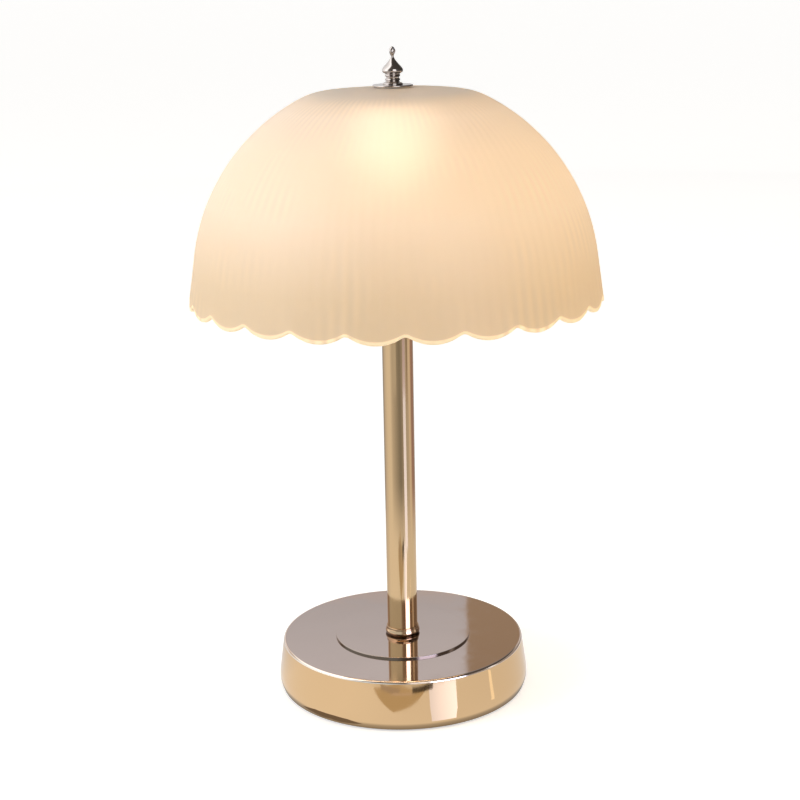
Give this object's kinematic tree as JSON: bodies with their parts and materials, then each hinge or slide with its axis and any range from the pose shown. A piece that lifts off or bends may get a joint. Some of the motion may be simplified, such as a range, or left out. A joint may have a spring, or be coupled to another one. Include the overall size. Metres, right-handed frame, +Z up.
{
  "type": "table lamp",
  "caption": "Mushroom table lamp: ribbed frosted glass dome with a scalloped rim and a turned finial, on a straight chrome stem and a round weighted base.",
  "frame": {"origin": "centre of the base's underside, on the surface that the lamp stands on", "axes": "+Z up along the stem, -Y towards the front, where the switch key points; the cord inlet is at +Y"},
  "size_m": [0.2504, 0.2504, 0.4],
  "materials": {
    "chrome": "polished, slightly warm",
    "cast_iron": "rough cast, black paint",
    "plate_paint": "black powder coat",
    "zinc_steel": "zinc plated",
    "brass": "lacquered",
    "phenolic": "moulded, dark brown",
    "grip_plastic": "moulded, black",
    "lamp_aluminium": "plain sheet",
    "lamp_glass": "frosted inside, lit",
    "lamp_glaze": "black glass bead",
    "shade_glass": "frosted, finely ribbed, scalloped rim",
    "pad_foam": "soft closed foam",
    "gasket_rubber": "clear silicone rubber"
  },
  "bodies": {
    "stand": {"base_cover": "chrome", "centre_disc": "chrome", "stem_collar": "chrome", "stem_tube": "chrome", "stem_cap": "chrome", "base_weight": "cast_iron", "base_plate": "plate_paint", "plate_screws": "zinc_steel", "centre_rod": "zinc_steel", "rod_nut": "zinc_steel", "rod_washer": "zinc_steel", "cap_screw": "zinc_steel", "lock_nut": "brass", "harp_saddle": "brass", "harp": "brass", "harp_stud": "brass", "lampholder_cap": "brass", "lampholder_shell": "brass", "centre_contact": "brass", "terminal_screws": "brass", "switch_body": "phenolic", "cord_grommet": "grip_plastic", "screw_shell": "lamp_aluminium", "base_pad": "pad_foam"},
    "sleeve_left": {"harp_sleeve_left": "brass"},
    "sleeve_right": {"harp_sleeve_right": "brass"},
    "key": {"switch_key": "grip_plastic"},
    "bulb": {"bulb_glass": "lamp_glass", "bulb_cap": "lamp_aluminium", "bulb_insulator": "lamp_glaze", "bulb_contact": "brass"},
    "shade": {"shade_glass": "shade_glass", "shade_gasket_lower": "gasket_rubber", "shade_gasket_upper": "gasket_rubber", "shade_washer": "chrome"},
    "finial": {"finial": "chrome"}
  },
  "joints": [
    {"name": "shade_lift", "type": "slide", "parent": "stand", "child": "shade", "axis": [0, 0, 1], "range_m": [0, 0.15]},
    {"name": "finial_turn", "type": "hinge", "parent": "shade", "child": "finial", "pos_m": [0, 0, 0.38], "axis": [0, 0, 1], "continuous": true},
    {"name": "switch_turn", "type": "hinge", "parent": "stand", "child": "key", "pos_m": [0, -0.02, 0.279], "axis": [0, -1, 0], "continuous": true},
    {"name": "bulb_turn", "type": "hinge", "parent": "stand", "child": "bulb", "pos_m": [0, 0, 0.3], "axis": [0, 0, 1], "continuous": true},
    {"name": "sleeve_left_slide", "type": "slide", "parent": "stand", "child": "sleeve_left", "axis": [0, 0, 1], "range_m": [0, 0.01]},
    {"name": "sleeve_right_slide", "type": "slide", "parent": "stand", "child": "sleeve_right", "axis": [0, 0, 1], "range_m": [0, 0.01]}
  ]
}
